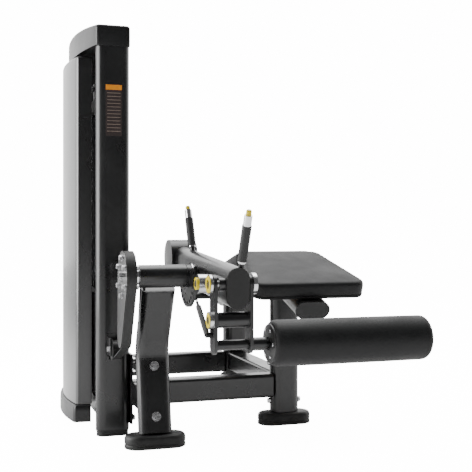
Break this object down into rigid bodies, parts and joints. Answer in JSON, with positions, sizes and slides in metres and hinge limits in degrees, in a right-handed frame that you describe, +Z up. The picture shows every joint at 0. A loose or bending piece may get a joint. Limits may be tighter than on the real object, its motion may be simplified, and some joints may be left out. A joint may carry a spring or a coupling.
{
  "type": "lying leg curl",
  "caption": "Selectorised lying leg curl: weight tower, swinging lever arm with an ankle roller, and an angled hip and chest bench.",
  "frame": {"origin": "bottom centre of the overall box, on the floor", "axes": "+X from the weight tower to the ankle roller, +Y from the feet to the head of the person lying on it, +Z up"},
  "size_m": [1.028, 1.5933, 1.484],
  "materials": {
    "frame_paint": "semi-gloss black powder coat",
    "cap_plastic": "satin",
    "shroud": "satin gloss",
    "rubber": "matte",
    "plate_iron": "painted satin",
    "chrome": "polished",
    "bolt_steel": "zinc plated",
    "vinyl": "black vinyl with fine grain",
    "board": "plain plywood",
    "belt": "ribbed matte",
    "yellow_plastic": "gloss",
    "ring_steel": "satin",
    "pulley_nylon": "satin"
  },
  "bodies": {
    "frame": {"upright_near": "frame_paint", "upright_far": "frame_paint", "rubber_feet": "rubber", "tower_top_beam": "frame_paint", "tower_base_beam": "frame_paint", "top_cap": "cap_plastic", "front_shroud": "shroud", "shroud_base_cover": "cap_plastic", "rear_shroud": "shroud", "guide_rods": "chrome", "stack_bumpers": "rubber", "weight_plates": "plate_iron", "pulley_brackets": "frame_paint", "pulley_axles": "bolt_steel", "belt_run": "belt", "axle_housing": "frame_paint", "housing_bearings": "bolt_steel", "front_leg": "frame_paint", "near_rail": "frame_paint", "far_rail": "frame_paint", "cross_beam": "frame_paint", "near_post": "frame_paint", "far_post": "frame_paint", "bench_spine": "frame_paint", "spine_end_cap": "rubber", "chest_spine": "frame_paint", "hip_pad_board": "board", "chest_pad_board": "board", "hip_pad": "vinyl", "chest_pad": "vinyl", "frame_bolts": "bolt_steel", "hand_grips": "rubber"},
    "lever": {"lever_arm": "frame_paint", "arm_end_cap": "rubber", "axle_shaft": "chrome", "cam": "frame_paint", "cam_bolts": "bolt_steel", "rom_disc": "frame_paint", "counterweight": "frame_paint", "handle_grips": "rubber", "handle_sleeves": "chrome", "rom_pin_housing": "ring_steel"},
    "far_button": {"far_button": "yellow_plastic"},
    "near_button": {"near_button": "yellow_plastic"},
    "rom_pin": {"rom_pin": "yellow_plastic"},
    "fork": {"fork": "frame_paint", "fork_pin": "chrome", "fork_ring_caps": "ring_steel", "adjust_rod": "rubber"},
    "roller": {"roller_pad": "vinyl", "roller_hubs": "pulley_nylon"},
    "stack": {"top_plate": "plate_iron", "lifted_plates": "plate_iron", "stack_stem": "chrome", "stack_belt": "belt"},
    "selector_pin": {"selector_pin": "yellow_plastic"},
    "low_pulley": {"low_pulley": "pulley_nylon"},
    "inner_pulley": {"inner_pulley": "pulley_nylon"},
    "top_pulley_near": {"top_pulley_near": "pulley_nylon"},
    "top_pulley_mid": {"top_pulley_mid": "pulley_nylon"}
  },
  "joints": [
    {"name": "lever_swing", "type": "hinge", "parent": "frame", "child": "lever", "pos_m": [-0.127, -0.325, 0.583], "axis": [-1, 0, 0], "range_deg": [0, 110], "deforming": ["belt_run"]},
    {"name": "stack_lift", "type": "slide", "parent": "frame", "child": "stack", "axis": [0, 0, 1], "range_m": [0, 0.3], "deforming": ["stack_belt"]},
    {"name": "selector_pin_pull", "type": "slide", "parent": "stack", "child": "selector_pin", "axis": [1, 0, 0], "range_m": [0, 0.09]},
    {"name": "far_button_press", "type": "slide", "parent": "lever", "child": "far_button", "axis": [0, -0.4067, -0.9135], "range_m": [0, 0.006], "stiffness_N_per_m": 600, "springref_m": -0.002},
    {"name": "near_button_press", "type": "slide", "parent": "lever", "child": "near_button", "axis": [0, 0.4067, -0.9135], "range_m": [0, 0.006], "stiffness_N_per_m": 600, "springref_m": -0.002},
    {"name": "rom_pin_pull", "type": "slide", "parent": "lever", "child": "rom_pin", "axis": [-1, 0, 0], "range_m": [0, 0.012], "stiffness_N_per_m": 500, "springref_m": -0.003},
    {"name": "fork_adjust", "type": "hinge", "parent": "lever", "child": "fork", "pos_m": [-0.141, -0.705, 0.577], "axis": [1, 0, 0], "range_deg": [-12, 14]},
    {"name": "roller_spin", "type": "hinge", "parent": "fork", "child": "roller", "pos_m": [0.26, -0.705, 0.397], "axis": [1, 0, 0], "continuous": true},
    {"name": "low_pulley_spin", "type": "hinge", "parent": "frame", "child": "low_pulley", "pos_m": [-0.381, -0.112, 0.318], "axis": [1, 0, 0], "range_deg": [-520, 4]},
    {"name": "inner_pulley_spin", "type": "hinge", "parent": "frame", "child": "inner_pulley", "pos_m": [-0.381, 0.038, 0.318], "axis": [1, 0, 0], "range_deg": [-520, 4]},
    {"name": "top_pulley_near_spin", "type": "hinge", "parent": "frame", "child": "top_pulley_near", "pos_m": [-0.381, 0.1056, 1.282], "axis": [1, 0, 0], "range_deg": [-4, 520]},
    {"name": "top_pulley_mid_spin", "type": "hinge", "parent": "frame", "child": "top_pulley_mid", "pos_m": [-0.381, 0.2487, 1.282], "axis": [1, 0, 0], "range_deg": [-4, 520]}
  ],
  "couplings": [
    {"joint": "stack_lift", "follows": "lever_swing", "m_per_rad": 0.15},
    {"joint": "low_pulley_spin", "follows": "lever_swing", "ratio": -4.6875},
    {"joint": "inner_pulley_spin", "follows": "lever_swing", "ratio": -4.6875},
    {"joint": "top_pulley_near_spin", "follows": "lever_swing", "ratio": 4.6875},
    {"joint": "top_pulley_mid_spin", "follows": "lever_swing", "ratio": 4.6875}
  ]
}
